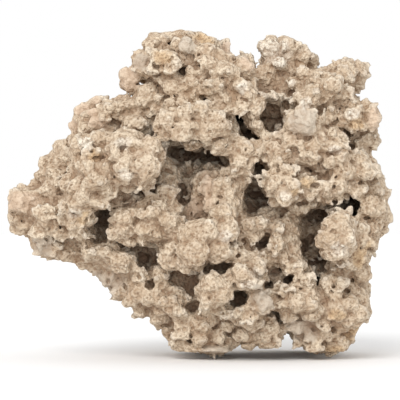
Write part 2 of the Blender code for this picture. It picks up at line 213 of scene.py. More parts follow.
def bend(places):
    """How far each place is moved to make round shapes irregular: up to about 3 mm each way."""
    slow = np.stack([smooth_noise(places, 11 * MM, seed) for seed in (15, 16, 17)], -1)
    quick = np.stack([smooth_noise(places, 4.5 * MM, seed) for seed in (18, 19, 20)], -1)
    return 2.0 * MM * slow + 1.1 * MM * quick


spread = np.percentile(knobs(points, 13 * MM, 21), [5, 50, 95])
print("knobs at the model's corners, 5, 50 and 95 % of them below:", np.round(spread, 2))

# %% [markdown]
# The patterns are worked out only where they matter: in the thin band of grid points near the surface, or in
# the small block around one lump. So fine patterns stay quick.

# %% Read and pick grid points
def read_block(block, places, cell=CELL):
    """The block's number at each place, mixed from the eight grid points around it."""
    scaled = places / cell - first * (CELL / cell)
    scaled = np.clip(scaled, 0, np.array(block.shape) - 1.001)
    corner = scaled.astype(int)
    way = scaled - corner
    total = np.zeros(len(places))
    for i, j, k in itertools.product((0, 1), repeat=3):
        weight = np.abs(1 - i - way[:, 0]) * np.abs(1 - j - way[:, 1]) * np.abs(1 - k - way[:, 2])
        total += weight * block[corner[:, 0] + i, corner[:, 1] + j, corner[:, 2] + k]
    return total


def near_surface(reach):
    """The grid points within that distance of the surface: their numbers in the block, and their places."""
    numbers = np.nonzero(np.abs(field) < reach)
    return numbers, ((np.stack(numbers, -1) + first) * CELL).astype(np.float32)


def block_around(middle, reach):
    """The part of the grid within that reach of a place: its slices, its shape, and its points' places."""
    low = np.maximum(np.ceil((middle - reach) / CELL).astype(int) - first, 0)
    high = np.minimum(np.floor((middle + reach) / CELL).astype(int) - first + 1, field.shape)
    lines = [(np.arange(low[i], high[i]) + first[i]) * CELL for i in range(3)]
    places = np.stack(np.meshgrid(*lines, indexing="ij"), -1)
    return tuple(slice(low[i], high[i]) for i in range(3)), places.shape[:3], places.reshape(-1, 3)


print("grid points within 3 mm of the surface:", len(near_surface(3 * MM)[1]))

# %% [markdown]
# The lumps that stand out on the front are listed: the head at the upper left, the middle, the nose and
# shoulder at the left, and the right side with its round nodule. Only the column and the row are listed. How
# far forward each one is comes from the field, by walking from the eye through that square until the stone
# begins.

# %% Lumps of the front
# column, row, half width, half height, turn in degrees anticlockwise, how far it stands out in squares
HEAD_LUMPS = [
    (154, 43, 10, 7, 15, 1), (170, 35, 12, 5, 5, -2), (192, 35, 9, 6, -10, -1), (187, 46, 9, 9, 0, 2),
    (176, 46, 6, 7, 0, 1), (208, 42, 8, 6, -30, -2), (205, 50, 10, 7, 0, 0), (216, 47, 6, 6, 0, -3),
    (226, 52, 7, 10, -12, -3), (163, 57, 13, 7, 10, 2), (143, 61, 11, 10, 0, 2), (150, 70, 14, 6, -10, 3),
    (173, 66, 8, 8, 35, 1), (191, 70, 6, 6, 0, -1), (205, 62, 12, 9, 0, 2), (222, 57, 9, 6, -10, 1),
    (226, 72, 13, 9, 0, 5), (244, 70, 9, 11, 20, 0), (249, 63, 6, 9, 20, -3), (241, 86, 11, 8, 0, 4),
    (215, 85, 12, 8, 10, 2), (192, 84, 10, 9, 0, 0), (172, 87, 12, 9, 0, 1), (148, 93, 8, 9, 0, 2),
    (158, 100, 6, 5, 0, 0), (170, 104, 8, 7, 0, -1), (183, 103, 6, 7, 0, 0), (152, 110, 8, 5, 20, 0),
    (199, 95, 6, 6, 0, 0), (228, 97, 11, 7, 0, 1), (214, 103, 9, 6, 0, 1), (247, 96, 9, 7, 0, 1),
    (256, 104, 8, 7, 0, 1), (262, 96, 6, 6, 0, 0), (240, 106, 8, 6, 0, 0), (130, 83, 9, 11, 0, -3),
    (126, 74, 6, 6, 0, -3), (272, 108, 14, 10, 0, 8), (271, 124, 12, 10, 0, 5), (280, 130, 5, 5, 0, 0),
]
CENTRE_LUMPS = [
    (167, 124, 12, 14, 0, 4), (185, 114, 11, 9, 20, 3), (186, 130, 12, 11, 0, 3), (200, 112, 8, 8, 0, 2),
    (205, 129, 11, 11, 0, 2), (222, 124, 11, 14, 0, 3), (217, 143, 12, 8, -10, 2),
    (198, 143, 14, 5, -10, -1), (256, 110, 8, 6, 20, 1), (263, 117, 5, 5, 0, 1), (250, 118, 7, 6, 0, 0),
    (258, 127, 8, 8, 0, 1), (275, 97, 12, 6, 0, -5), (286, 102, 8, 6, 0, -4), (262, 85, 8, 7, 0, -5),
    (275, 80, 10, 9, 0, -6), (285, 90, 7, 6, 0, -5), (232, 150, 9, 6, -20, 0), (244, 148, 11, 8, 30, 3),
    (238, 161, 8, 10, -10, 3), (255, 151, 8, 6, 10, 2), (238, 173, 5, 6, 0, 1), (264, 146, 5, 5, 0, 0),
    (274, 150, 8, 7, 0, 1), (285, 155, 12, 8, 0, 2), (278, 163, 10, 6, 0, 1), (290, 142, 7, 6, 0, 1),
    (222, 190, 12, 12, 0, 2), (215, 205, 10, 9, 0, 2), (230, 205, 10, 10, 0, 2), (224, 216, 12, 9, 0, 3),
    (206, 187, 6, 9, 0, 0), (195, 209, 7, 9, -30, -2), (190, 193, 7, 9, 0, -4), (166, 196, 11, 12, 0, 1),
    (155, 211, 13, 9, 20, 2), (175, 208, 9, 11, 0, 1), (150, 226, 13, 10, 0, 3), (170, 223, 13, 11, 0, 2),
    (160, 234, 14, 6, 0, 2), (198, 236, 18, 12, 10, 4), (194, 252, 14, 12, 0, 5), (216, 250, 12, 13, 0, 4),
    (188, 262, 9, 8, 0, 4), (208, 233, 14, 10, 0, 5), (226, 232, 10, 10, 0, 4), (170, 254, 9, 11, 0, 2),
    (192, 273, 6, 4, 0, 1), (212, 285, 12, 11, 0, 4), (222, 292, 11, 12, 0, 3), (212, 299, 10, 8, 0, 3),
    (240, 247, 9, 8, 0, 1), (250, 228, 9, 10, 0, 1), (262, 223, 8, 8, 0, -1), (247, 236, 10, 5, 0, 1),
    (231, 256, 8, 7, 0, 1), (246, 262, 10, 10, 0, 2), (257, 265, 10, 9, 0, 2), (242, 273, 9, 8, 0, 2),
    (246, 283, 18, 9, -10, 5), (262, 300, 8, 13, 15, 3), (256, 310, 10, 6, 20, 1),
]
LEFT_LUMPS = [
    (98, 102, 7, 6, 0, 1), (88, 107, 6, 6, 0, 0), (79, 111, 6, 5, 0, 0), (73, 125, 6, 6, 0, -2),
    (112, 107, 14, 8, 0, 0), (130, 105, 13, 7, 0, 0), (146, 101, 8, 6, 0, 0), (105, 118, 9, 7, 0, 0),
    (97, 124, 10, 8, 0, 1), (85, 128, 7, 7, 0, 0), (135, 124, 12, 7, 0, 1), (146, 130, 7, 8, 0, 1),
    (98, 140, 14, 9, 0, 2), (80, 148, 9, 12, 10, 2), (92, 153, 8, 6, 0, 2), (125, 142, 16, 10, -5, 4),
    (126, 166, 12, 18, 0, 4), (145, 166, 13, 18, -10, 4), (151, 147, 10, 10, -20, 3),
    (115, 152, 8, 12, 15, 3), (106, 168, 10, 12, 0, 1), (88, 166, 12, 10, 0, 2), (70, 165, 8, 14, 15, 1),
    (98, 181, 15, 10, 0, 5), (106, 190, 10, 8, 0, 3), (85, 196, 12, 11, 0, 3), (74, 206, 9, 8, 0, 3),
    (95, 203, 12, 7, 0, 3), (67, 183, 7, 9, 0, 1), (62, 146, 8, 7, 0, -1), (60, 161, 9, 8, 0, 0),
    (45, 161, 6, 5, 0, -2), (41, 176, 8, 9, 0, -1), (55, 176, 7, 8, 0, 0), (47, 191, 10, 8, 0, 0),
    (22, 202, 15, 13, 0, 3), (21, 189, 5, 5, 0, 0), (13, 219, 8, 8, 0, 1), (26, 228, 9, 6, 0, 1),
    (45, 216, 11, 10, 0, 4), (54, 226, 11, 9, 0, 4), (38, 233, 9, 7, 0, 1), (62, 209, 6, 7, 0, 1),
    (75, 221, 9, 9, 0, 3), (89, 220, 8, 8, 0, 2), (83, 234, 12, 6, -20, 3), (118, 199, 9, 9, 0, 4),
    (132, 200, 12, 8, 0, 8), (163, 178, 7, 7, 0, 6), (121, 218, 10, 10, 0, 3), (131, 216, 8, 9, 0, 3),
    (122, 231, 12, 8, 0, 2), (130, 240, 9, 6, 0, 1), (140, 212, 6, 6, 0, 0), (50, 245, 12, 7, 0, -1),
    (75, 245, 12, 7, 0, -2), (91, 251, 11, 8, 0, -1), (105, 254, 11, 7, -20, 0), (121, 263, 11, 11, -30, 1),
    (110, 275, 10, 12, -40, -1), (118, 290, 9, 9, -40, -2), (138, 276, 9, 8, 0, 0),
    (143, 293, 13, 11, 0, 2), (160, 276, 8, 9, -30, 1), (152, 300, 13, 7, 10, 2), (130, 300, 9, 7, -30, -1),
    (140, 310, 12, 6, 0, -1), (165, 304, 10, 8, 0, 2), (180, 300, 12, 8, 0, 2), (178, 314, 11, 7, 0, 1),
    (160, 318, 8, 8, 0, 0), (170, 331, 9, 7, 0, 0), (183, 333, 10, 8, 0, 1), (178, 345, 9, 5, 0, 0),
    (200, 325, 10, 8, 0, 1), (200, 338, 9, 8, 0, 1), (190, 348, 8, 4, 0, 0), (216, 350, 13, 6, 0, 0),
    (218, 336, 8, 8, 0, 1), (228, 342, 6, 7, 0, 0), (208, 311, 9, 6, 0, -2),
]
RIGHT_LUMPS = [
    (270, 48, 10, 11, 0, 2), (288, 45, 11, 8, 0, 0), (303, 56, 10, 8, -20, 0), (281, 66, 9, 7, 0, 3),
    (312, 64, 6, 5, 0, -2), (295, 72, 9, 6, 0, -2), (307, 76, 8, 6, 0, -1), (322, 80, 15, 7, 15, 1),
    (345, 75, 8, 9, 0, 0), (348, 65, 8, 8, 0, 0), (358, 68, 8, 8, 0, -2), (362, 82, 5, 6, 0, -3),
    (312, 94, 17, 8, 25, 5), (304, 101, 8, 7, 30, 4), (330, 86, 11, 7, 20, 3), (293, 83, 5, 5, 0, 2),
    (345, 92, 7, 8, 0, 0), (303, 122, 14, 14, 0, 4), (330, 117, 7, 9, 0, 0), (352, 115, 14, 8, 15, 3),
    (366, 106, 7, 6, -30, 0), (375, 117, 5, 11, 0, -2), (358, 125, 9, 5, 0, 1), (333, 132, 9, 5, -20, 0),
    (315, 145, 13, 8, 0, 1), (300, 143, 8, 5, 0, 0), (335, 145, 12, 6, 0, 1), (365, 139, 10, 6, 0, 0),
    (374, 146, 6, 6, 0, 0), (310, 157, 10, 7, 0, 2), (297, 160, 8, 6, 0, 2), (335, 160, 10, 6, 20, 1),
    (352, 160, 10, 7, 0, 0), (344, 171, 10, 7, -30, 1), (365, 168, 12, 9, -20, 1), (376, 172, 6, 8, 0, -1),
    (272, 173, 7, 5, 0, 3), (289, 172, 9, 5, 0, 3), (277, 184, 9, 8, 0, 5), (286, 194, 9, 10, -10, 5),
    (293, 184, 8, 8, 0, 4), (304, 182, 6, 8, 20, 1), (307, 192, 8, 7, 0, 2), (325, 190, 10, 8, 0, 1),
    (340, 184, 9, 8, -30, 2), (318, 199, 9, 5, 0, 0), (360, 190, 10, 6, 0, 1), (376, 190, 8, 7, 0, 0),
    (387, 187, 4, 7, 0, -1), (371, 206, 8, 10, 0, 2), (381, 208, 8, 11, 0, 0), (256, 181, 7, 6, 0, -3),
    (275, 213, 11, 7, 0, -3), (298, 208, 9, 7, 0, -2), (337, 228, 12, 10, 0, 6), (345, 238, 10, 12, 0, 7),
    (330, 240, 11, 10, 0, 6), (335, 252, 12, 8, 0, 6), (341, 218, 6, 6, 0, 4), (372, 228, 11, 9, 0, 1),
    (363, 230, 6, 7, 0, 0), (365, 244, 9, 7, 0, 0), (376, 243, 5, 7, 0, -2), (350, 262, 7, 10, -10, 2),
    (359, 258, 6, 9, 0, 1), (369, 260, 5, 7, 0, -1), (361, 275, 9, 9, 0, 1), (335, 272, 8, 6, 0, 1),
    (330, 282, 8, 8, 0, 2), (343, 284, 6, 5, 0, 2), (337, 295, 9, 6, 0, 1), (353, 292, 9, 8, 0, 1),
    (278, 240, 5, 13, -20, 1), (289, 227, 8, 9, 0, 0), (292, 247, 8, 11, 0, -8), (284, 259, 7, 7, 0, 0),
    (299, 269, 9, 8, 0, 2), (307, 280, 6, 9, 0, 2), (290, 268, 5, 9, 20, 1), (315, 272, 5, 4, -20, 2),
    (289, 293, 11, 8, -25, 3), (284, 305, 7, 7, 0, 2), (298, 302, 9, 7, 0, 2), (309, 305, 12, 8, 0, 3),
    (312, 317, 9, 6, 0, 2), (335, 310, 12, 11, 0, 3), (350, 305, 10, 9, 0, 1), (360, 298, 9, 10, 0, 2),
    (361, 314, 8, 9, 0, 1), (352, 320, 11, 9, 0, 1), (354, 335, 9, 7, 0, 0), (342, 341, 9, 7, 0, 0),
    (324, 325, 9, 8, 0, 2), (300, 325, 13, 8, -10, 2), (297, 340, 10, 9, 0, 1), (311, 338, 10, 9, 0, 1),
    (316, 350, 9, 5, 0, 0), (334, 350, 8, 5, 0, 1), (271, 329, 11, 9, 0, 2), (262, 337, 9, 7, 0, 1),
    (291, 315, 8, 7, 0, 5), (252, 324, 8, 6, 0, 1), (244, 335, 10, 8, 0, 1), (278, 333, 6, 6, 0, 1),
    (252, 344, 9, 4, 0, 0), (270, 343, 9, 5, 0, 0), (235, 313, 14, 5, 0, 0), (228, 325, 9, 6, 0, 1),
]
LUMPS = HEAD_LUMPS + CENTRE_LUMPS + LEFT_LUMPS + RIGHT_LUMPS
print(len(LUMPS), "lumps are listed")

# %% [markdown]
# The hollows are listed in the same way. The basins are wide and are dug first, so that lumps can stand in
# them. The others are the caves and gaps between the lumps, and are dug later, from what an eye sees by then.

# %% Hollows of the front
# column, row, half width, half height, turn in degrees anticlockwise, half depth in squares
BASINS = [
    (274, 90, 15, 14, 0, 8), (243, 126, 14, 12, -30, 10), (337, 205, 14, 7, 0, 14),
    (262, 205, 20, 12, 0, 9), (302, 287, 12, 8, 0, 9), (68, 238, 14, 6, -20, 8), (140, 258, 14, 10, 0, 8),
    (262, 246, 9, 7, 0, 12), (190, 300, 9, 14, -20, 8), (90, 230, 10, 14, 0, 9),
]
HOLLOWS = [
    (142, 83, 3, 5, -30, 30), (303, 204, 8, 4, 0, 7), (352, 210, 9, 14, 0, 34), (353, 215, 6, 9, 0, 24),
    (348, 197, 5, 5, 0, 14), (174, 160, 9, 13, -20, 13), (196, 155, 16, 7, 0, 12),
    (200, 148, 13, 5, -5, 16), (202, 165, 12, 4, 0, 10), (226, 161, 9, 5, -20, 10), (232, 116, 8, 4, 0, 20),
    (238, 118, 7, 5, -10, 20), (250, 136, 13, 6, -28, 22), (255, 141, 9, 4, -15, 12),
    (259, 166, 8, 6, 0, 12), (256, 194, 11, 5, 0, 14), (251, 208, 11, 11, 0, 9), (266, 204, 9, 8, 0, 5),
    (320, 214, 14, 8, 0, 16), (305, 249, 7, 9, 0, 12), (318, 264, 9, 8, 0, 10), (338, 206, 11, 5, 0, 14),
    (329, 212, 9, 8, 0, 14), (317, 284, 7, 8, 20, 28), (288, 279, 8, 6, 0, 24), (268, 286, 5, 6, 0, 14),
    (323, 271, 7, 6, 0, 22), (337, 262, 8, 3, 20, 7), (272, 272, 8, 5, 0, 5), (263, 245, 8, 6, 0, 18),
    (248, 248, 7, 4, -30, 6), (228, 243, 4, 4, 0, 6), (237, 259, 6, 3, 30, 6), (239, 303, 13, 9, -15, 20),
    (230, 307, 7, 5, 0, 12), (275, 316, 5, 9, -20, 11), (221, 267, 15, 4, 10, 9), (206, 269, 6, 7, 0, 14),
    (190, 286, 8, 12, -30, 8), (172, 275, 10, 6, -10, 5), (196, 306, 9, 5, 35, 13), (146, 258, 6, 5, 0, 11),
    (138, 266, 11, 7, -20, 13), (155, 261, 4, 5, 0, 9), (150, 284, 5, 4, 0, 8), (174, 241, 6, 5, 0, 9),
    (152, 243, 12, 3, 0, 6), (105, 219, 10, 14, -15, 20), (93, 242, 10, 6, 0, 11), (68, 240, 12, 5, -20, 9),
    (133, 189, 7, 3, 30, 8), (125, 199, 7, 2, 50, 6), (149, 202, 4, 7, 0, 10), (156, 189, 4, 7, 0, 6),
    (120, 125, 9, 3, -25, 9), (154, 125, 2, 11, 0, 9), (183, 192, 4, 10, 0, 9), (180, 221, 4, 3, 0, 6),
    (147, 112, 4, 3, 0, 6), (165, 97, 4, 3, 0, 6), (188, 105, 3, 2, 0, 6), (205, 99, 5, 3, 0, 8),
    (211, 111, 4, 5, 0, 7), (180, 73, 6, 6, -30, 9), (195, 64, 5, 4, 0, 8), (209, 76, 6, 4, 0, 7),
    (162, 76, 11, 2, 0, 8), (167, 42, 4, 3, 0, 6), (167, 63, 3, 2, 30, 5), (293, 93, 4, 3, 0, 7),
    (294, 105, 3, 4, 0, 7), (286, 109, 5, 9, 0, 10), (176, 144, 13, 5, -5, 9), (322, 109, 13, 4, 28, 9),
    (347, 132, 7, 5, 0, 12), (349, 150, 11, 4, 0, 7), (298, 172, 5, 3, -40, 9), (309, 168, 7, 2, -40, 8),
    (332, 176, 4, 2, 0, 6), (318, 205, 15, 4, -15, 6), (345, 291, 6, 3, -35, 9), (323, 303, 2, 5, 0, 7),
    (334, 330, 4, 4, 0, 8), (325, 345, 5, 2, 0, 6), (214, 326, 5, 3, 35, 8), (237, 321, 5, 3, 20, 7),
    (190, 341, 3, 3, 0, 6), (190, 333, 2, 3, 0, 5), (125, 287, 3, 5, 0, 6), (101, 156, 4, 3, 0, 3),
    (122, 150, 3, 2, 0, 3), (60, 193, 3, 6, 0, 8), (62, 229, 2, 6, 40, 5), (221, 203, 3, 5, 20, 7),
    (248, 215, 3, 2, 0, 5), (283, 218, 3, 5, 0, 8), (269, 222, 4, 3, 0, 7), (340, 109, 3, 2, 0, 6),
    (303, 151, 2, 2, 0, 6), (283, 84, 3, 2, 0, 4), (272, 93, 3, 2, 0, 6), (187, 174, 4, 3, 0, 8),
    (117, 243, 3, 2, 0, 5), (280, 266, 4, 3, 0, 7), (242, 98, 3, 2, 0, 5), (137, 276, 2, 2, 0, 5),
    (336, 200, 5, 3, 0, 6), (186, 153, 17, 9, 0, 22), (209, 156, 15, 9, -5, 22), (352, 218, 5, 7, 0, 18),
    (348, 208, 4, 4, 0, 12), (316, 282, 6, 8, 20, 20), (321, 269, 7, 7, 0, 20), (293, 280, 6, 5, 0, 14),
    (236, 117, 8, 5, -10, 16),
]
print(len(BASINS), "basins and", len(HOLLOWS), "other hollows are listed")

# %% [markdown]
# Where the stone's outline has a bay, a notch goes right through the stone, so it needs no depth of its own.

# %% Notches of the outline
NOTCH_DEPTH = 110
# column, row, half width, half height, turn in degrees anticlockwise
NOTCHES = [
    (144, 33, 6, 6, 0), (131, 50, 4, 3, 0), (118, 66, 4, 4, 0), (123, 94, 8, 3, 0), (104, 93, 9, 4, 0),
    (79, 99, 11, 3, 30), (69, 111, 4, 6, 0), (68, 118, 4, 5, 0), (63, 125, 5, 7, 0), (45, 147, 7, 5, 35),
    (28, 182, 5, 4, 0), (16, 237, 10, 4, -15), (101, 290, 18, 5, -45), (128, 312, 8, 5, -40),
    (377, 267, 7, 13, 0), (379, 312, 7, 12, 0), (363, 338, 8, 12, -25), (384, 107, 7, 8, -30),
    (385, 120, 4, 11, 0), (390, 180, 5, 9, 0), (392, 202, 5, 3, 0), (361, 95, 6, 4, 0),
    (369, 84, 5, 7, -20), (320, 66, 4, 3, 0), (316, 46, 8, 8, -40), (331, 62, 9, 3, 15),
    (258, 58, 4, 12, 0), (249, 49, 4, 4, 0), (235, 46, 6, 11, 0), (212, 34, 13, 4, -27),
    (287, 345, 6, 14, 0), (286, 338, 5, 9, 0), (367, 330, 7, 7, 0),
]
print(len(NOTCHES), "notches are listed")

# %% [markdown]
# In some places the crumbly crust gives way to smooth calcite. A patch of it has neither turn nor depth.

# %% Smooth patches of the front
# column, row, half width, half height
CALCITE = [
    (186, 45, 9, 9), (303, 123, 15, 15), (262, 300, 9, 14), (303, 330, 15, 12), (216, 352, 14, 6),
    (106, 284, 16, 12), (42, 246, 10, 9), (142, 62, 8, 8), (130, 79, 11, 14), (226, 52, 8, 9),
    (248, 62, 7, 9), (97, 103, 7, 6), (79, 111, 6, 5), (72, 125, 6, 6), (95, 122, 7, 6), (20, 203, 14, 12),
    (207, 190, 5, 22), (196, 210, 9, 11), (375, 120, 5, 13),
]
print(len(CALCITE), "smooth patches are listed")

# %% [markdown]
# Now each listed place is found on the stone, as a finger from the eye would find it. The walk is remembered
# for each square, until the memory is cleared on purpose because the stone has changed.

# %% Find the listed places on the stone
LOOK_REACH = 0.13           # the walk begins and ends this far from the middle plane, in metres
LOOK_STEP = 0.3 * MM


def sample(block, places):
    """The block's number at the grid point nearest to each place."""
    index = np.clip(np.rint(places / CELL).astype(int) - first, 0, np.array(block.shape) - 1)
    return block[index[:, 0], index[:, 1], index[:, 2]]


@functools.cache
def front_of_stone(column, row):
    """The first point of the stone on the way from the eye through that square. If the way misses the stone,
    it is the point where the way comes nearest to it."""
    way = place(column, row) - EYE
    steps = np.arange(1 - LOOK_REACH / EYE_DISTANCE, 1 + LOOK_REACH / EYE_DISTANCE, LOOK_STEP / EYE_DISTANCE)
    walked = EYE + steps[:, None] * way
    values = sample(field, walked)
    inside = np.nonzero(values < 0)[0]
    return walked[inside[0] if len(inside) else np.argmin(values)]


def ellipsoid(places, centre, sizes, turn):
    """About the distance to an ellipsoid's surface, in metres, negative inside: how many times too far the
    place is, less 1, times the smallest half size. Turn is in degrees, anticlockwise to the eye."""
    away = places - centre
    angle = math.radians(turn)
    across = away[:, 0] * math.cos(angle) + away[:, 2] * math.sin(angle)
    up = away[:, 2] * math.cos(angle) - away[:, 0] * math.sin(angle)
    share = np.sqrt((across / sizes[0]) ** 2 + (away[:, 1] / sizes[1]) ** 2 + (up / sizes[2]) ** 2)
    return (share - 1) * min(sizes)


print("one step of the walk, mm:", round(LOOK_STEP / MM, 2))

# %% [markdown]
# Three masks say how strongly a place takes part: inside a patch or not, on the crust or on calcite, and
# above the soles or on them. The soles have to stay flat, so nothing grows or sinks there.

# %% Masks
SOLE_HEIGHT = 5 * MM
CALCITE_SMOOTHNESS = 0.4


def patch_mask(places, patches, wobble):
    """1 in the middle of a patch, 0 outside, over an edge that the wobble makes ragged."""
    mask = np.zeros(len(places), np.float32)
    for column, row, half_width, half_height in patches:
        centre = front_of_stone(column, row)
        sizes = np.array([half_width, 1.4 * max(half_width, half_height), half_height]) * SQUARE
        near = np.nonzero((np.abs(places - centre) < 1.6 * sizes).all(axis=1))[0]
        share = np.sqrt((((places[near] - centre) / sizes) ** 2).sum(axis=1)) + wobble[near]
        mask[near] = np.maximum(mask[near], np.clip((1.25 - share) / 0.4, 0, 1))
    return mask


def crust_at(places):
    """How crumbly each place is: 1 on the crust, less on calcite."""
    smooth = patch_mask(places, CALCITE, 0.3 * smooth_noise(places, 5 * MM, 3))
    return 1 - CALCITE_SMOOTHNESS * smooth


def standing_at(places):
    """0 on the floor, rising evenly to 1 at the height of the soles."""
    return np.clip(places[:, 2] / SOLE_HEIGHT, 0, 1)

# %% [markdown]
# A cave isn't a clean bowl, so the ellipsoid that cuts it is bent. To cut, the stone keeps the larger of two
# distances: its own, and the ellipsoid's with its sign turned round. The basins are dug first.

# %% Dig the basins
CUT_LARGER = 1.2            # hollows are cut larger than listed, because the crust narrows them again
UNEVEN = 1.2                # how much of the bend an uneven hollow gets
EVEN = 0.3


def dig(rows, unevenness):
    """Cuts an ellipsoid out of the stone for each row, its middle on the stone's front."""
    for column, row, half_width, half_height, turn, depth in rows:
        sizes = np.array([half_width, depth, half_height]) * SQUARE
        middle = front_of_stone(column, row)
        across = max(sizes[0], sizes[2])
        reach = CUT_LARGER * np.array([across, sizes[1], across]) + 4 * MM
        slices, shape, places = block_around(middle, reach)
        cut = -ellipsoid(places + unevenness * bend(places), middle, CUT_LARGER * sizes, turn).reshape(shape)
        field[slices] = np.maximum(field[slices], cut)
    print(len(rows), "hollows cut")


dig(BASINS, UNEVEN)

# %% [markdown]
# Now the whole field is bent a little, so that no shape stays a plain ball. Then the front sinks back by some
# millimetres, to make room for the lumps that are joined on next, and the sides sink a little for the knobs.

# %% Bend the stone and sink its front
FRONT_SINKS = 4.5 * MM
SIDES_SINK = 1.0 * MM
FRONT_BEGINS = 0.15             # a surface begins to count as front when it faces the eye by this share
FRONT_GROWS = 0.5               # and counts in full when it faces the eye by this much more

front_of_stone.cache_clear()
for row in LUMPS:
    front_of_stone(*row[:2])        # remembered from here on, so that no lump moves as the field changes
band, band_points = near_surface(7 * MM)
slope = (np.roll(field, -1, axis=1)[band] - np.roll(field, 1, axis=1)[band]) / (2 * CELL)
facing_front = np.clip((-slope - FRONT_BEGINS) / FRONT_GROWS, 0, 1)
give = (crust_at(band_points) * standing_at(band_points))[:, None]
field[band] = read_block(field, band_points + bend(band_points) * give)
field[band] += (SIDES_SINK + (FRONT_SINKS - SIDES_SINK) * facing_front) * standing_at(band_points)
front_block = np.zeros(field.shape, np.float32)
front_block[band] = facing_front
print("share of the surface that is front:", round(float(facing_front.mean()), 2))

# %% [markdown]
# Each lump is an ellipsoid, nearly as deep as it is wide, that stands out of the sunken front. To join it on,
# the stone keeps the smaller of the two distances.

# %% Join the lumps on
for column, row, half_width, half_height, turn, out in LUMPS:
    sizes = np.array([half_width, 0.9 * max(half_width, half_height), half_height]) * SQUARE
    middle = front_of_stone(column, row) + np.array([0, sizes[1] - out * SQUARE, 0])
    slices, shape, places = block_around(middle, 1.4 * max(sizes))
    lump = ellipsoid(places + bend(places), middle, sizes, turn).reshape(shape)
    field[slices] = np.minimum(field[slices], lump)
print(len(LUMPS), "lumps joined on")

# %% [markdown]
# The crust swells by patterns, the coarse ones first: two slow waves, and large knobs. The knobs are for the
# back and the sides, which have no listed lumps, so the front gets only a third of them. On calcite and in
# some quiet regions the crust swells less. It doesn't swell out of the solid model's box.

# %% Swell the crust
def swell(reach, patterns):
    """Moves the surface out and in by the sum of the patterns, within that reach. A pattern is given as
    (function, size in mm, height in mm, seed, how much of it the front gets)."""
    band, places = near_surface(reach)
    ruggedness = np.clip(0.9 + 0.5 * smooth_noise(places, 34 * MM, 5), 0.45, 1.3) * crust_at(places)
    bent = places + 0.5 * bend(places)
    moved = np.zeros(len(places), np.float32)
    for pattern, size, height, seed, front_share in patterns:
        share = 1 + (front_share - 1) * front_block[band]
        moved += pattern(bent, size * MM, seed) * height * MM * ruggedness * share
    room = np.minimum(places - LOW, HIGH - places).min(axis=1) + field[band]
    field[band] -= np.where(moved < 0, moved * standing_at(places), moved * np.clip(room / (6 * MM), 0, 1))
    print(len(places), "grid points moved")


swell(5 * MM, [(smooth_noise, 24, 1.0, 11, 1), (smooth_noise, 8, 0.8, 12, 1), (knobs, 13, 1.9, 21, 0.35)])

# %% [markdown]
# The caves and gaps are dug between the coarse swelling and the fine, so that they keep their size but still
# get rough walls. The listed places are found anew, on the stone as it is by now.

# %% Dig the hollows and the notches
front_of_stone.cache_clear()
dig(HOLLOWS, UNEVEN)
dig([row + (NOTCH_DEPTH,) for row in NOTCHES], EVEN)

# %% [markdown]
# The fine patterns cover everything, cave walls as well: knobs of three sizes like popcorn, and folds, whose
# creases wind between them.

# %% Grow the fine knobs and folds
swell(3.6 * MM, [(knobs, 7, 1.0, 22, 1), (folds, 6, 0.6, 23, 1)])
swell(3.0 * MM, [(knobs, 4.6, 0.8, 26, 1), (knobs, 3.2, 0.6, 27, 1), (folds, 2.8, 0.35, 25, 1)])

# %% [markdown]
# Pores are balls cut out around some of the scattered seeds, of two sizes, except in the soles. A last bend
# makes their round edges ragged.

# %% Bore the pores
NO_PORE = -9
# spacing in mm, share of the seeds that get a pore, smallest and largest radius in mm, seed
PORES = [(8, 0.34, 1.2, 2.6, 31), (5, 0.30, 1.0, 1.7, 32)]
RAGGED = 0.6 * MM

band, band_points = near_surface(3 * MM)
for size, share, smallest, largest, seed in PORES:
    distance, number = nearest_seed(band_points, size * MM, seed)
    radius = np.where(number < share, smallest + (largest - smallest) * number / share, NO_PORE) * MM
    pore = radius * np.where(band_points[:, 2] < SOLE_HEIGHT, -1, 1) - distance * size * MM
    print("pores of up to", largest, "mm cut", int((pore > field[band]).sum()), "grid points")
    field[band] = np.maximum(field[band], pore)

band, band_points = near_surface(2.5 * MM)
ragged = np.stack([smooth_noise(band_points, 4 * MM, seed) for seed in (33, 34, 35)], -1)
field[band] = read_block(field, band_points + RAGGED * ragged * standing_at(band_points)[:, None])

# %% [markdown]
# A distance field knows nothing of sizes, so it is cut to the solid model's box and to the plane that the
# stone stands on. Then it becomes a surface of small squares. Cutting has left some loose bits outside the
# stone and closed bubbles in it, so the largest connected shell is found, and its points are noted as the
# stone's own.

# %% Turn the field into one surface
def cut_to_box(block, low, high):
    """The stone kept only where it is inside the box: the larger of the two distances."""
    for axis in range(3):
        outside = np.maximum(low[axis] - grid_line(axis), grid_line(axis) - high[axis])
        block = np.maximum(block, outside.reshape([-1 if i == axis else 1 for i in range(3)]))
    return block


def grid_line(axis):
    """The places of the field's grid points along one axis."""
    return ((np.arange(field.shape[axis]) + first[axis]) * CELL).astype(np.float32)


def surface(block, start):
    """The points and squares of the surface where the block's distances are 0. Start is the block's first
    grid point."""
    skin = vdb.FloatGrid(float(REACH * CELL))
    skin.transform = vdb.createLinearTransform(voxelSize=CELL)
    skin.copyFromArray(np.ascontiguousarray(block), ijk=tuple(int(i) for i in start))
    points, quads = skin.convertToQuads(isovalue=0.0)
    return points, quads.astype(np.int64)


def shells(points, quads):
    """A number for each point, the same on the whole of a connected shell. Every square takes the lowest
    number of its corners and every point the lowest of its squares, until nothing changes."""
    label = np.arange(len(points))
    corners = quads.ravel()
    order = np.argsort(corners, kind="stable")
    starts = np.flatnonzero(np.diff(corners[order], prepend=-1))
    while True:
        lowest = np.minimum.reduceat(label[quads].min(axis=1)[order // 4], starts)
        lowest = lowest[lowest]
        if (lowest == label).all():
            return label
        label = lowest


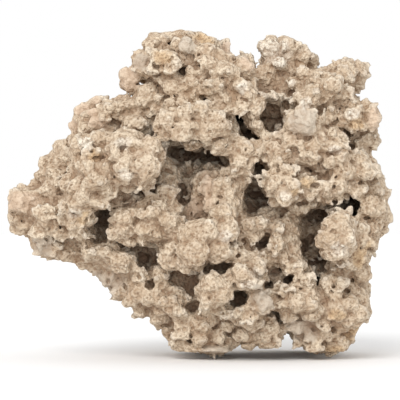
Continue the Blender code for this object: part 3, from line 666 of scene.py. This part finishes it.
def grid_codes(points):
    """One whole number for each point, made of the three numbers of its place on a grid four times as fine as
    the field's. That grid has fewer than 10,000 places along each axis."""
    fine = np.rint(points / (CELL / 4)).astype(np.int64) + 5000
    return (fine[:, 0] * 10000 + fine[:, 1]) * 10000 + fine[:, 2]


field = cut_to_box(field, LOW, HIGH)
points, quads = surface(field, first)
label = shells(points, quads)
on_stone = label == np.bincount(label).argmax()
stone_codes = np.unique(grid_codes(points[on_stone]))
print("the stone:", int(on_stone.sum()), "points, and", int((~on_stone).sum()), "on loose bits and bubbles")

# %% [markdown]
# A piece may have 200,000 triangles and the stone has a million, so it is made as five closed slices from
# left to right, each with a fifth of the points. Past its own edge a slice dives slowly under its neighbour,
# so no seam shows. The Decimate modifier then merges the flattest places, which costs no detail that can be
# seen. Of the very smallest bits it leaves flat pairs of triangles, and these are taken out.

# %% Cut the surface into slices
SLICES = 5
MOST_TRIANGLES = 198_000
DIVE_REACH = 3 * MM
DIVE_SLOPE = 0.4


def sliced(left, right):
    """The points and squares of the stone between two places along X, closed, without loose bits. It reaches
    past both by DIVE_REACH, where it dives under its neighbours by DIVE_SLOPE, and then it is cut off."""
    past = np.maximum(left - grid_line(0), grid_line(0) - right)
    within = np.flatnonzero(past < DIVE_REACH + 4 * CELL)
    kept = slice(within[0], within[-1] + 1)
    past = past[kept, None, None]
    block = np.maximum(field[kept] + DIVE_SLOPE * np.maximum(past, 0), past - DIVE_REACH)
    points, quads = surface(block, first + [kept.start, 0, 0])
    label = shells(points, quads)
    stony = np.isin(grid_codes(points), stone_codes)
    share = np.bincount(label, stony, len(points)) > 0
    quads = quads[share[label[quads[:, 0]]]]
    used, renumbered = np.unique(quads, return_inverse=True)
    return points[used], renumbered.reshape(quads.shape)


def halved(points, quads):
    """Two triangles for each square, parted along the shorter of its diagonals."""
    a, b, c, d = (points[quads[:, i]] for i in range(4))
    first_is_shorter = (((a - c) ** 2).sum(axis=1) < ((b - d) ** 2).sum(axis=1))[:, None]
    one = np.where(first_is_shorter, quads[:, [0, 1, 2]], quads[:, [0, 1, 3]])
    other = np.where(first_is_shorter, quads[:, [0, 2, 3]], quads[:, [1, 2, 3]])
    return np.concatenate([one, other])


def triangle_mesh(name, points, triangles):
    """A mesh from two arrays: points in metres and the three point numbers of each triangle."""
    mesh = bpy.data.meshes.new(name)
    mesh.vertices.add(len(points))
    mesh.vertices.foreach_set("co", np.ascontiguousarray(points, np.float32).ravel())
    mesh.loops.add(triangles.size)
    mesh.loops.foreach_set("vertex_index", np.ascontiguousarray(triangles, np.int32).ravel())
    mesh.polygons.add(len(triangles))
    mesh.polygons.foreach_set("loop_start", np.arange(0, triangles.size, 3, dtype=np.int32))
    mesh.update(calc_edges=True)
    mesh.validate()
    return mesh


def thinned(mesh, most):
    """The mesh with its flattest places merged until that many triangles are left."""
    scratch = bpy.data.objects.new("scratch", mesh)
    bpy.context.scene.collection.objects.link(scratch)
    thin = scratch.modifiers.new("thin", "DECIMATE")
    thin.ratio = min(1.0, most / len(mesh.polygons))
    graph = bpy.context.evaluated_depsgraph_get()
    result = bpy.data.meshes.new_from_object(scratch.evaluated_get(graph))
    bpy.data.objects.remove(scratch)
    bpy.data.meshes.remove(mesh)
    return result


def without_flat_bits(name, mesh):
    """The mesh without pairs of triangles on the same three points, which are what thinning leaves of the
    smallest bits."""
    places = np.empty(len(mesh.vertices) * 3, np.float32)
    mesh.vertices.foreach_get("co", places)
    triangles = np.empty(len(mesh.loops), np.int32)
    mesh.loops.foreach_get("vertex_index", triangles)
    triangles = triangles.reshape(-1, 3)
    _, number, uses = np.unique(np.sort(triangles, axis=1), axis=0, return_inverse=True, return_counts=True)
    used, renumbered = np.unique(triangles[uses[number.reshape(-1)] == 1], return_inverse=True)
    bpy.data.meshes.remove(mesh)
    return triangle_mesh(name, places.reshape(-1, 3)[used], renumbered.reshape(-1, 3))


borders = np.quantile(points[on_stone, 0], np.linspace(0, 1, SLICES + 1))
borders[[0, -1]] = LOW[0] - DIVE_REACH, HIGH[0] + DIVE_REACH
stone_meshes = []
for number in range(SLICES):
    slice_points, slice_quads = sliced(borders[number], borders[number + 1])
    whole = triangle_mesh("whole_slice", slice_points, halved(slice_points, slice_quads))
    print("slice", number + 1, "has", len(whole.polygons), "triangles, thinned to", end=" ")
    thin_slice = thinned(whole, MOST_TRIANGLES)
    stone_meshes.append(without_flat_bits("reef_rock_stone_" + str(number + 1), thin_slice))
    print(len(stone_meshes[-1].polygons))
del level_set, grid_places

# %% [markdown]
# Colour on such a stone follows its shape. Deep places are painted darker brown, as the shade that falls in
# them and partly as silt, knobs and edges are painted paler, calcite patches are whitish or flesh-coloured,
# and iron stains some lumps ochre. Each of these becomes one number per point of the mesh, an attribute,
# which the material reads. How deep a place lies is told from how crowded with stone the surroundings are,
# just under the surface: a little over half of them are stone under a flat face, fewer in a knob, and nearly
# all of them in the wall of a cave. A long blur of the solid block measures this for wide surroundings, and a
# short one for close ones.

# %% How deep each place lies
COARSE = 2 * CELL
NEAR_BLUR, WIDE_BLUR = 3, 36                        # passes of the blur
NEAR_LOOK, WIDE_LOOK = 1.5 * MM, 7 * MM             # how far under the surface the crowding is read

solid_block = np.clip(0.5 - field / CELL, 0, 1).astype(np.float32)
a, b, c = (size // 2 for size in solid_block.shape)
coarse_solid = solid_block[:2 * a, :2 * b, :2 * c].reshape(a, 2, b, 2, c, 2).mean(axis=(1, 3, 5))
near_crowding = blurred(coarse_solid, NEAR_BLUR)
wide_crowding = blurred(coarse_solid, WIDE_BLUR)


def mesh_points(mesh):
    """Every point's place and the direction that the surface faces there."""
    places = np.empty(len(mesh.vertices) * 3, np.float32)
    mesh.vertices.foreach_get("co", places)
    normals = np.empty(len(mesh.vertices) * 3, np.float32)
    mesh.vertices.foreach_get("normal", normals)
    return places.reshape(-1, 3).astype(np.float64), normals.reshape(-1, 3).astype(np.float64)


def crowding_at(places, normals):
    """Two numbers from 0 to 1 for each place: how crowded with stone it is close by, and in a wide round."""
    close = read_block(near_crowding, places - NEAR_LOOK * normals, COARSE)
    wide = read_block(wide_crowding, places - WIDE_LOOK * normals, COARSE)
    return close, wide


print("the block of crowding has", near_crowding.shape, "places")

# %% [markdown]
# On the front, the stains are listed, one list for each colour: calcite white, iron ochre, flesh tan and
# grey. The grey is the stone's own on the upper patches, and painted shade on the low lumps at the bottom.
# The back, the sides and the underside get theirs from slow noise, so that the stone looks of one kind all
# round.

# %% Where the stains are
# column, row, half width, half height
WHITE = [
    (85, 143, 7, 6), (124, 142, 7, 7), (125, 175, 9, 5), (280, 64, 7, 5), (242, 88, 5, 6), (292, 82, 4, 4),
    (305, 103, 5, 6), (352, 114, 7, 5), (335, 150, 6, 4), (225, 236, 7, 5), (255, 274, 9, 6),
    (248, 285, 6, 4), (340, 250, 8, 6), (285, 195, 7, 5), (75, 213, 6, 5), (276, 50, 16, 12),
]
OCHRE = [
    (85, 218, 7, 6), (95, 155, 6, 5), (357, 125, 7, 6), (310, 183, 8, 6), (295, 192, 5, 5),
    (338, 316, 9, 7), (354, 334, 10, 8), (360, 258, 8, 10), (335, 351, 9, 6), (375, 249, 8, 10),
    (163, 58, 9, 7), (206, 38, 9, 7),
]
TAN = [
    (130, 79, 11, 14), (226, 51, 8, 9), (248, 62, 7, 9), (97, 103, 7, 6), (84, 107, 6, 5), (79, 111, 6, 5),
    (72, 125, 6, 6), (92, 112, 6, 5), (95, 122, 7, 6), (103, 125, 6, 5), (22, 203, 14, 12),
    (207, 190, 6, 22), (197, 208, 8, 10), (375, 120, 6, 14),
]
# Grey patches: the stone's own grey on the upper ones, painted shade on the low lumps at the bottom.
GREY = [
    (186, 43, 9, 10), (303, 123, 14, 14), (262, 300, 10, 14), (303, 330, 15, 12), (216, 352, 14, 6),
    (106, 284, 17, 13), (42, 246, 11, 10), (142, 62, 8, 8),
]
FRONT_REACH = -20 * MM      # the listed stains end about here, and the stains of the back take over
BACK_BEGINS = 25 * MM       # over this depth
print("stains listed:", len(WHITE), "white,", len(OCHRE), "ochre,", len(TAN), "tan,", len(GREY), "grey")

# %% Write the numbers on the slices
def stains_at(places):
    """For each place, how strongly each stain colours it: a dictionary of arrays from 0 to 1."""
    edge = 0.35 * smooth_noise(places, 4 * MM, 61) + 0.2 * smooth_noise(places, 11 * MM, 62)
    behind = np.clip((places[:, 1] - FRONT_REACH) / BACK_BEGINS, 0, 1)
    found = {}
    for stain, patches, seed in (("white", WHITE, 71), ("ochre", OCHRE, 72),
                                 ("tan", TAN, 73), ("grey", GREY, 74)):
        by_rule = smooth_noise(places, 17 * MM, seed) + 0.5 * smooth_noise(places, 6 * MM, seed + 10)
        by_rule = np.clip((by_rule - 0.62) / 0.25, 0, 1) * behind
        found[stain] = np.maximum(patch_mask(places, patches, edge), by_rule).astype(np.float32)
    return found


def set_numbers(mesh, **numbers):
    """One number per point of the mesh, under a name that a material can read."""
    for name, values in numbers.items():
        attribute = mesh.attributes.new(name, "FLOAT", "POINT")
        attribute.data.foreach_set("value", np.ascontiguousarray(values, np.float32))


for mesh in stone_meshes:
    places, normals = mesh_points(mesh)
    close, wide = crowding_at(places, normals)
    stains = stains_at(places)
    set_numbers(mesh, close=close, wide=wide, **stains)
    print(mesh.name, "stained, %:",
          {stain: round(100 * float((values > 0.5).mean()), 1) for stain, values in stains.items()})

# %% [markdown]
# Dry limestone is matt and sand-coloured. Its browns are painted shade for the pits, creases and deep places,
# the deepest partly silt, and it is painted whiter on knobs and edges. The colours are named here, and the
# next cells mix them.

# %% The colours of the stone
def srgb(red, green, blue):
    """A colour as a screen shows it, from 0 to 255, made linear for the shader."""
    share = np.array([red, green, blue]) / 255
    return (*np.where(share <= 0.04045, share / 12.92, ((share + 0.055) / 1.055) ** 2.4), 1.0)


PALE_SAND = srgb(217, 201, 178)
DARK_SAND = srgb(192, 171, 146)
# Painted shade: the brown of pits, creases and hollows.
CREVICE_SHADE_BROWN = srgb(136, 104, 76)
# Painted shade of deep caves, partly silt.
CAVE_SHADE_AND_SILT_BROWN = srgb(132, 106, 86)
CALCITE_WHITE = srgb(236, 229, 215)
IRON_OCHRE = srgb(204, 170, 124)
FLESH_TAN = srgb(201, 177, 154)
# Grey of the smooth patches, on the low lumps painted shade.
GREY_STONE_AND_LOW_SHADE = srgb(178, 167, 153)

print("pale sand, linear:", np.round(PALE_SAND[:3], 2))

# %% [markdown]
# A node tree made by code gets long, so a few helpers each make one kind of node and give back its output
# socket. Noise makes speckles and a fine relief. A Voronoi texture makes grains and small pits.

# %% Helpers for node trees
def new_group(name, inputs, outputs):
    """An empty shader node group with these sockets, as (name, type, default) and (name, type)."""
    group = bpy.data.node_groups.new(name, "ShaderNodeTree")
    for label, kind, default in inputs:
        socket = group.interface.new_socket(label, in_out="INPUT", socket_type=kind)
        if default is not None:
            socket.default_value = default
    for label, kind in outputs:
        group.interface.new_socket(label, in_out="OUTPUT", socket_type=kind)
    return group, group.nodes.new("NodeGroupInput"), group.nodes.new("NodeGroupOutput")


def mixed(tree, below, above, amount):
    """The colour below mixed with the one above, by an amount. Each is a socket or a plain value."""
    mix = tree.nodes.new("ShaderNodeMix")
    mix.data_type = "RGBA"
    for socket, value in ((mix.inputs["Factor"], amount), (mix.inputs[6], below), (mix.inputs[7], above)):
        if isinstance(value, bpy.types.NodeSocket):
            tree.links.new(value, socket)
        else:
            socket.default_value = value
    return mix.outputs[2]


def ranged(tree, value, low, high, to_low=0.0, to_high=1.0):
    """A value moved from the range low..high to the range to_low..to_high, and held inside it."""
    node = tree.nodes.new("ShaderNodeMapRange")
    node.inputs["From Min"].default_value = low
    node.inputs["From Max"].default_value = high
    node.inputs["To Min"].default_value = to_low
    node.inputs["To Max"].default_value = to_high
    tree.links.new(value, node.inputs["Value"])
    return node.outputs["Result"]


def calculated(tree, operation, *values):
    """One Math node on sockets or numbers."""
    node = tree.nodes.new("ShaderNodeMath")
    node.operation = operation
    for socket, value in zip(node.inputs, values):
        if isinstance(value, bpy.types.NodeSocket):
            tree.links.new(value, socket)
        else:
            socket.default_value = value
    return node.outputs[0]


def noise_texture(tree, vector, size, detail=2.0, roughness=0.5, output="Fac"):
    """Noise whose blobs are about that many metres wide."""
    node = tree.nodes.new("ShaderNodeTexNoise")
    node.inputs["Scale"].default_value = 1 / size
    node.inputs["Detail"].default_value = detail
    node.inputs["Roughness"].default_value = roughness
    tree.links.new(vector, node.inputs["Vector"])
    return node.outputs[output]


def seed_texture(tree, vector, size, wave):
    """A node of scattered seeds about that far apart, in a space that noise makes wavy. It gives the distance
    to the nearest seed, and the seed's random colour."""
    wavy = tree.nodes.new("ShaderNodeVectorMath")
    wavy.operation = "MULTIPLY_ADD"
    tree.links.new(noise_texture(tree, vector, 2.5 * MM, 2, output="Color"), wavy.inputs[0])
    wavy.inputs[1].default_value = (wave,) * 3
    tree.links.new(vector, wavy.inputs[2])
    node = tree.nodes.new("ShaderNodeTexVoronoi")
    node.inputs["Scale"].default_value = 1 / size
    tree.links.new(wavy.outputs[0], node.inputs["Vector"])
    return node


HELPERS = (new_group, mixed, ranged, calculated, noise_texture, seed_texture)
print("helpers made:", [helper.__name__ for helper in HELPERS])

# %% [markdown]
# The finish is one node group. It mixes the sand colours, lays the stains over them, paints shade into the
# creases between the grains, the pits and the deep places, the deepest partly as silt, paints knobs and edges
# paler, and gives a height for the fine bumps. Calcite and flesh-coloured patches are smoother, so they get
# less of all that, and a little shine.

# %% Build the limestone group
def limestone_group():
    """Vector and the stone's numbers in, colour, roughness and the height of fine bumps out."""
    group, given, result = new_group(
        "crumbly_limestone",
        [("Vector", "NodeSocketVector", None),
         ("Close", "NodeSocketFloat", 0.5), ("Wide", "NodeSocketFloat", 0.5),
         ("White", "NodeSocketFloat", 0.0), ("Ochre", "NodeSocketFloat", 0.0),
         ("Tan", "NodeSocketFloat", 0.0), ("Grey", "NodeSocketFloat", 0.0)],
        [("Color", "NodeSocketColor"), ("Roughness", "NodeSocketFloat"), ("Height", "NodeSocketFloat")])
    vector = given.outputs["Vector"]
    smooth_part = calculated(group, "MAXIMUM", given.outputs["Tan"], given.outputs["Grey"])
    crust_part = ranged(group, smooth_part, 0, 1, 1, 0.45)

    slow = ranged(group, noise_texture(group, vector, 14 * MM, 3), 0.35, 0.65)
    colour = mixed(group, PALE_SAND, DARK_SAND, slow)
    speck = ranged(group, noise_texture(group, vector, 2.2 * MM, 3, 0.65), 0.3, 0.7, -0.5, 0.5)
    light = calculated(group, "MULTIPLY", speck, crust_part)
    colour = mixed(group, colour, PALE_SAND, ranged(group, light, 0, 0.8))
    colour = mixed(group, colour, DARK_SAND, ranged(group, light, 0, -0.8))

    for stain, shade, strength in (("Grey", GREY_STONE_AND_LOW_SHADE, 0.6), ("Tan", FLESH_TAN, 0.7),
                                   ("Ochre", IRON_OCHRE, 0.5), ("White", CALCITE_WHITE, 0.55)):
        colour = mixed(group, colour, shade, ranged(group, given.outputs[stain], 0, 1, 0, strength))

    relief = noise_texture(group, vector, 2.4 * MM, 3, 0.5)
    recess_shade = calculated(group, "MULTIPLY", ranged(group, relief, 0.50, 0.34), crust_part)
    grain = seed_texture(group, vector, 2.3 * MM, 0.5 * MM).outputs["Distance"]
    crease = calculated(group, "MULTIPLY", ranged(group, grain, 0.45, 0.85), crust_part)
    pits = seed_texture(group, vector, 3.2 * MM, 3.5 * MM)
    chosen = ranged(group, pits.outputs["Color"], 0.55, 0.6)
    pit = calculated(group, "MULTIPLY", ranged(group, pits.outputs["Distance"], 0.34, 0.18), chosen)
    pit = calculated(group, "MULTIPLY", pit, crust_part)
    # Painted shade: the low places of the fine relief, the creases between the grains and the pits are mixed
    # towards brown.
    colour = mixed(group, colour, CREVICE_SHADE_BROWN, calculated(group, "MULTIPLY", recess_shade, 0.55))
    colour = mixed(group, colour, CREVICE_SHADE_BROWN, calculated(group, "MULTIPLY", crease, 0.4))
    colour = mixed(group, colour, CREVICE_SHADE_BROWN, calculated(group, "MULTIPLY", pit, 0.6))
    # Painted shade: places crowded with stone close by, in hollows and cave walls, are mixed towards the same
    # brown.
    close = ranged(group, given.outputs["Close"], 0.58, 0.85, 0, 0.6)
    colour = mixed(group, colour, CREVICE_SHADE_BROWN, close)
    # Painted shade, partly silt: deep places, crowded with stone in a wide round, are mixed towards a darker
    # brown.
    wide = ranged(group, given.outputs["Wide"], 0.66, 0.95, 0, 0.6)
    colour = mixed(group, colour, CAVE_SHADE_AND_SILT_BROWN, wide)
    # Knobs and edges, where little stone crowds round, are mixed towards calcite white.
    paler_where_open = ranged(group, given.outputs["Close"], 0.50, 0.36, 0, 0.3)
    colour = mixed(group, colour, CALCITE_WHITE, calculated(group, "MULTIPLY", paler_where_open, crust_part))

    grain_height = calculated(group, "MULTIPLY", calculated(group, "POWER", grain, 2.0), 0.7)
    relief = calculated(group, "SUBTRACT", relief, grain_height)
    bumps = calculated(group, "MULTIPLY", relief, ranged(group, smooth_part, 0, 1, 1, 0.6))
    bumps = calculated(group, "SUBTRACT", bumps, calculated(group, "MULTIPLY", pit, 0.35))
    group.links.new(colour, result.inputs["Color"])
    group.links.new(ranged(group, smooth_part, 0, 1, 0.95, 0.6), result.inputs["Roughness"])
    group.links.new(bumps, result.inputs["Height"])
    return group


GROUP = limestone_group()
print("the limestone group has", len(GROUP.nodes), "nodes")

# %% [markdown]
# The Principled BSDF stays in the material itself. The material hands the group the place on the object, and
# the numbers that were written on the mesh.

# %% Make the material
BUMP_HEIGHT = 1.6 * MM


def limestone_material(name):
    """A Principled BSDF that the group feeds, with the group's height as fine bumps."""
    material = bpy.data.materials.new(name)
    material.use_nodes = True
    tree = material.node_tree
    shader = tree.nodes["Principled BSDF"]
    shader.inputs["Specular IOR Level"].default_value = 0.35
    stone = tree.nodes.new("ShaderNodeGroup")
    stone.node_tree = GROUP
    where = tree.nodes.new("ShaderNodeTexCoord")
    tree.links.new(where.outputs["Object"], stone.inputs["Vector"])
    for number in ("Close", "Wide", "White", "Ochre", "Tan", "Grey"):
        attribute = tree.nodes.new("ShaderNodeAttribute")
        attribute.attribute_name = number.lower()
        tree.links.new(attribute.outputs["Fac"], stone.inputs[number])
    relief = tree.nodes.new("ShaderNodeBump")
    relief.inputs["Distance"].default_value = BUMP_HEIGHT
    relief.inputs["Strength"].default_value = 1.0
    tree.links.new(stone.outputs["Height"], relief.inputs["Height"])
    tree.links.new(relief.outputs["Normal"], shader.inputs["Normal"])
    tree.links.new(stone.outputs["Color"], shader.inputs["Base Color"])
    tree.links.new(stone.outputs["Roughness"], shader.inputs["Roughness"])
    return material


limestone = limestone_material("reef_limestone")
print("material:", limestone.name)

# %% [markdown]
# The slices become objects at the origin. Together they stand for the solid model's node.

# %% Put the stone together
for mesh in stone_meshes:
    mesh.shade_smooth()
    mesh.materials.append(limestone)
    piece = bpy.data.objects.new(mesh.name, mesh)
    bpy.context.scene.collection.objects.link(piece)
    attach(piece, "root")
    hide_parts("reef_rock")
print(sum(len(mesh.polygons) for mesh in stone_meshes), "triangles in all")

# %% [markdown]
# The studio is white. Its floor is a wide square just under the soles.

# %% Floor
FLOOR_SIDE = 12.0
FLOOR_GAP = 0.2 * MM
FLOOR_WHITE = (0.93, 0.93, 0.93, 1)


def plain_material(name, colour):
    """A matt material of one colour."""
    material = bpy.data.materials.new(name)
    material.use_nodes = True
    material.node_tree.nodes["Principled BSDF"].inputs["Base Color"].default_value = colour
    material.node_tree.nodes["Principled BSDF"].inputs["Roughness"].default_value = 0.9
    return material


floor_shape = bmesh.new()
bmesh.ops.create_grid(floor_shape, x_segments=1, y_segments=1, size=FLOOR_SIDE / 2)
floor_mesh = bpy.data.meshes.new("studio_floor")
floor_shape.to_mesh(floor_mesh)
floor_shape.free()
floor_mesh.transform(Matrix.Translation((0, 0, LOW[2] - FLOOR_GAP)))
floor_mesh.materials.append(plain_material("studio_white", FLOOR_WHITE))
floor = bpy.data.objects.new("studio_floor", floor_mesh)
bpy.context.scene.collection.objects.link(floor)
print("floor at", round((LOW[2] - FLOOR_GAP) / MM, 2), "mm")

# %% [markdown]
# One very soft sun stands high in front of the stone and a little to its left, and a weak one near the eye
# reaches into the caves. An even surround looks pure white, but lights the stone a little less.

# %% Light
def soft_sun(name, strength, spread, comes_from):
    """A sun that many degrees wide, shining from that direction."""
    light = bpy.data.lights.new(name, "SUN")
    light.energy = strength
    light.angle = math.radians(spread)
    sun = bpy.data.objects.new(name, light)
    sun.rotation_euler = Vector(comes_from).to_track_quat("Z", "Y").to_euler()
    bpy.context.scene.collection.objects.link(sun)


def white_surround(seen, cast):
    """A world that the camera sees at one strength and that lights the stone at another."""
    world = bpy.data.worlds.new("studio_surround")
    world.use_nodes = True
    tree = world.node_tree
    lighting = tree.nodes["Background"]
    lighting.inputs["Color"].default_value = (1, 1, 1, 1)
    lighting.inputs["Strength"].default_value = cast
    backdrop = tree.nodes.new("ShaderNodeBackground")
    backdrop.inputs["Color"].default_value = (1, 1, 1, 1)
    backdrop.inputs["Strength"].default_value = seen
    chosen = tree.nodes.new("ShaderNodeMixShader")
    tree.links.new(tree.nodes.new("ShaderNodeLightPath").outputs["Is Camera Ray"], chosen.inputs["Fac"])
    tree.links.new(lighting.outputs["Background"], chosen.inputs[1])
    tree.links.new(backdrop.outputs["Background"], chosen.inputs[2])
    tree.links.new(chosen.outputs["Shader"], tree.nodes["World Output"].inputs["Surface"])
    return world


soft_sun("high_sun", 1.75, 35, (-0.40, -1.00, 0.80))
soft_sun("cave_fill", 0.8, 20, (0.05, -1.00, 0.05))
bpy.context.scene.world = white_surround(1.0, 0.87)
bpy.context.scene.view_settings.view_transform = "Standard"
print("lights:", [light.name for light in bpy.data.lights])

# %% [markdown]
# The camera looks level at the middle of the drawing grid, from the eye's place, and its picture is 400
# squares of the grid wide at the stone's middle plane.

# %% Camera
PICTURE_SQUARES = 400
camera_data = bpy.data.cameras.new("camera")
camera_data.sensor_width = 36.0
camera_data.lens = camera_data.sensor_width * EYE_DISTANCE / (PICTURE_SQUARES * SQUARE)
camera = bpy.data.objects.new("camera", camera_data)
camera.location = EYE
camera.rotation_euler = (math.pi / 2, 0, 0)
bpy.context.scene.collection.objects.link(camera)
bpy.context.scene.camera = camera
print("lens, mm:", round(camera_data.lens, 1))
